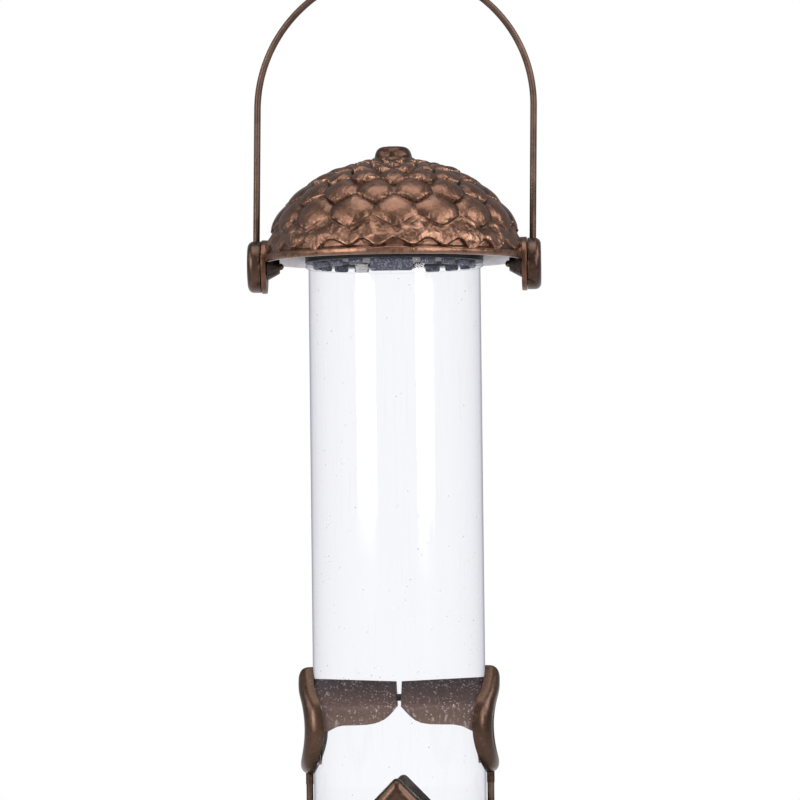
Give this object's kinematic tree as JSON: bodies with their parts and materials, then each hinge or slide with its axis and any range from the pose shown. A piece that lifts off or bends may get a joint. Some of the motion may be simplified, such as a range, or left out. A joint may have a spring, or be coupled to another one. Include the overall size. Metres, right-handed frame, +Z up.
{
  "type": "hanging tube bird feeder",
  "caption": "Clear tube seed feeder with a scaled acorn-cup cap that lifts and twists off, a swinging wire bail, teardrop seed ports with wire perches, and a saucer base.",
  "frame": {"origin": "centre of the base's foot ring, on the plane it stands on", "axes": "+Z up along the tube; the two upper ports face +X and -X; the two lower ports face +Y and -Y"},
  "size_m": [0.1422, 0.1422, 0.3837],
  "materials": {
    "cast_bronze": "satin metallic brown paint over a die casting",
    "bronze_wire": "satin metallic brown paint on steel wire",
    "bronze_button": "smooth satin metallic brown",
    "dark_metal": "dark satin",
    "clear_tube": "clear polished",
    "collar_plastic": "dark satin with a grey-blue cast",
    "dark_plastic": "matt dark brown",
    "steel_fastener": "plated"
  },
  "bodies": {
    "feeder": {"tube": "clear_tube", "port_upper_left": "cast_bronze", "port_upper_right": "cast_bronze", "port_lower_front": "cast_bronze", "port_lower_back": "cast_bronze", "tie_rivet_upper": "dark_metal", "tie_rivet_lower": "dark_metal", "perch_upper_left": "bronze_wire", "perch_upper_right": "bronze_wire", "perch_lower_front": "bronze_wire", "perch_lower_back": "bronze_wire", "base_cup": "cast_bronze", "base_screws": "steel_fastener", "seed_deflector": "dark_plastic"},
    "collar": {"cap_collar": "collar_plastic"},
    "cap": {"cap_dome": "cast_bronze", "lock_cam": "dark_plastic", "cap_washer": "steel_fastener", "cap_screw": "steel_fastener"},
    "bail": {"bail_wire": "bronze_wire", "bail_button_left": "bronze_button", "bail_button_right": "bronze_button", "pivot_nut_left": "dark_metal", "pivot_nut_right": "dark_metal"}
  },
  "joints": [
    {"name": "cap_lift", "type": "slide", "parent": "feeder", "child": "collar", "axis": [0, 0, 1], "range_m": [0, 0.12]},
    {"name": "cap_twist", "type": "hinge", "parent": "collar", "child": "cap", "pos_m": [0, 0, 0.2734], "axis": [0, 0, 1], "range_deg": [0, 30]},
    {"name": "bail_swing", "type": "hinge", "parent": "cap", "child": "bail", "pos_m": [0, 0, 0.272], "axis": [1, 0, 0], "range_deg": [-160, 160]}
  ]
}
